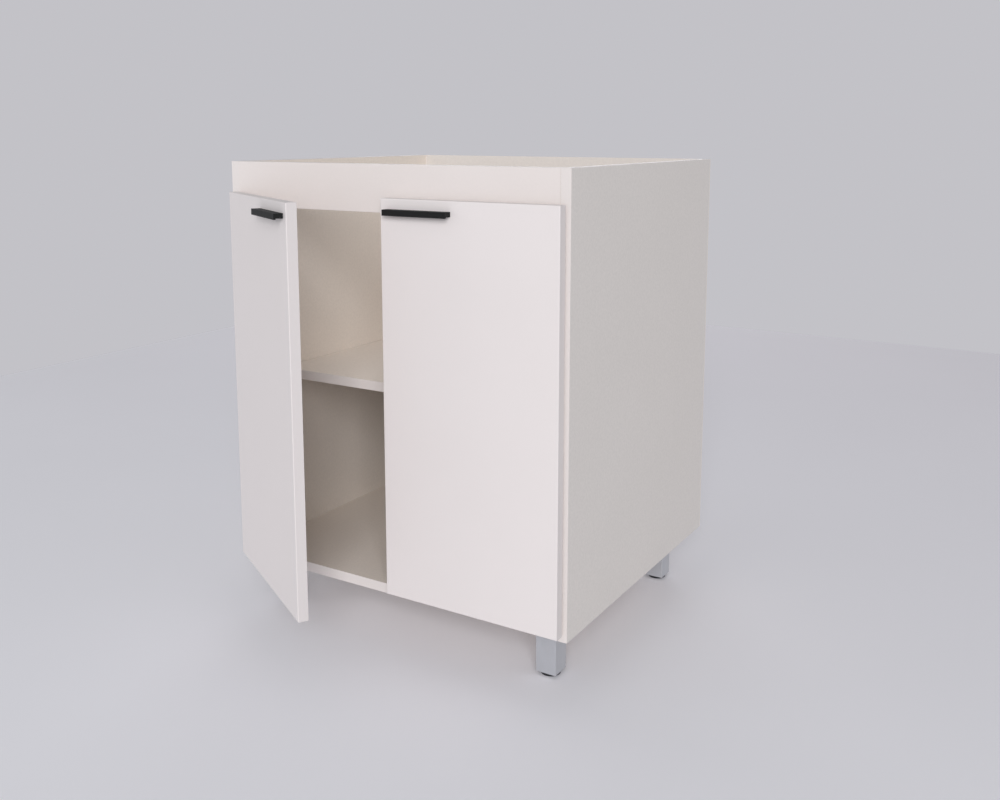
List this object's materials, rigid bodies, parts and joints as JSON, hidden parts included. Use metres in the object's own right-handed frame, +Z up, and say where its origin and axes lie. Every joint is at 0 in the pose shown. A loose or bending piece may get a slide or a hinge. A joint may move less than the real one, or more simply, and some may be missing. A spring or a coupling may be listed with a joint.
{
  "type": "sink base cabinet",
  "caption": "Open-topped white kitchen base cabinet for a sink, with hinged doors on concealed hinges, an inner shelf, a front rail and metal legs on levelling feet.",
  "frame": {"origin": "on the floor, at the middle of the footprint at rest: between the back and the open left door's handle, and between the sides", "axes": "+X to the right seen from the front, +Y to the back, +Z up"},
  "size_m": [0.7, 0.7852, 0.85],
  "materials": {
    "white_board": "white melamine facing, matte, on chipboard",
    "white_door": "smooth matte white foil on fibreboard",
    "white_edging": "white plastic edge band",
    "back_sheet": "white faced thin fibreboard",
    "black_handle": "matte black",
    "leg_metal": "satin grey",
    "black_plastic": "matte black",
    "hinge_metal": "nickel plated",
    "screw_metal": "zinc plated",
    "cast_zinc": "as cast",
    "beech": "fluted beech, plain",
    "clear_rubber": "soft, milky"
  },
  "bodies": {
    "cabinet": {"left_side_panel": "white_board", "right_side_panel": "white_board", "bottom_panel": "white_board", "front_rail": "white_board", "shelf": "white_board", "back_panel": "back_sheet", "side_panel_edging": "white_edging", "bottom_panel_edging": "white_edging", "rail_edging": "white_edging", "shelf_edging": "white_edging", "left_mounting_plates": "hinge_metal", "right_mounting_plates": "hinge_metal", "arm_pins": "hinge_metal", "plate_screws": "screw_metal", "front_left_leg": "leg_metal", "front_right_leg": "leg_metal", "rear_left_leg": "leg_metal", "rear_right_leg": "leg_metal", "leg_plates": "leg_metal", "leg_plate_screws": "screw_metal", "leg_inserts": "black_plastic", "cam_bolts": "screw_metal", "cam_housings": "cast_zinc", "dowels": "beech", "back_screws": "screw_metal", "shelf_pins": "screw_metal"},
    "left_arms": {"left_hinge_arms": "hinge_metal"},
    "left_door_leaf": {"left_door": "white_door", "left_handle": "black_handle", "left_handle_screws": "screw_metal", "left_hinge_cups": "hinge_metal", "left_cup_screws": "screw_metal", "left_cup_pins": "hinge_metal", "left_door_bumpers": "clear_rubber"},
    "right_arms": {"right_hinge_arms": "hinge_metal"},
    "right_door_leaf": {"right_door": "white_door", "right_handle": "black_handle", "right_handle_screws": "screw_metal", "right_hinge_cups": "hinge_metal", "right_cup_screws": "screw_metal", "right_cup_pins": "hinge_metal", "right_door_bumpers": "clear_rubber"},
    "front_left_levelling_foot": {"front_left_foot": "black_plastic"},
    "front_right_levelling_foot": {"front_right_foot": "black_plastic"},
    "rear_left_levelling_foot": {"rear_left_foot": "black_plastic"},
    "rear_right_levelling_foot": {"rear_right_foot": "black_plastic"}
  },
  "joints": [
    {"name": "left_arm_swing", "type": "hinge", "parent": "cabinet", "child": "left_arms", "pos_m": [-0.308, -0.16835, 0.45], "axis": [0, 0, 1], "range_deg": [-8.1, 16.2]},
    {"name": "left_door_swing", "type": "hinge", "parent": "left_arms", "child": "left_door_leaf", "pos_m": [-0.32598, -0.21232, 0.45], "axis": [0, 0, -1], "range_deg": [-38.1, 76.2]},
    {"name": "right_arm_swing", "type": "hinge", "parent": "cabinet", "child": "right_arms", "pos_m": [0.308, -0.16835, 0.45], "axis": [0, 0, -1], "range_deg": [0, 24.3]},
    {"name": "right_door_swing", "type": "hinge", "parent": "right_arms", "child": "right_door_leaf", "pos_m": [0.332, -0.20935, 0.45], "axis": [0, 0, 1], "range_deg": [0, 114.3]},
    {"name": "front_left_foot_screw_out", "type": "slide", "parent": "cabinet", "child": "front_left_levelling_foot", "axis": [0, 0, -1], "range_m": [0, 0.012]},
    {"name": "front_right_foot_screw_out", "type": "slide", "parent": "cabinet", "child": "front_right_levelling_foot", "axis": [0, 0, -1], "range_m": [0, 0.012]},
    {"name": "rear_left_foot_screw_out", "type": "slide", "parent": "cabinet", "child": "rear_left_levelling_foot", "axis": [0, 0, -1], "range_m": [0, 0.012]},
    {"name": "rear_right_foot_screw_out", "type": "slide", "parent": "cabinet", "child": "rear_right_levelling_foot", "axis": [0, 0, -1], "range_m": [0, 0.012]}
  ],
  "couplings": [
    {"joint": "left_arm_swing", "follows": "left_door_swing", "ratio": 0.2126},
    {"joint": "right_arm_swing", "follows": "right_door_swing", "ratio": 0.2126}
  ]
}
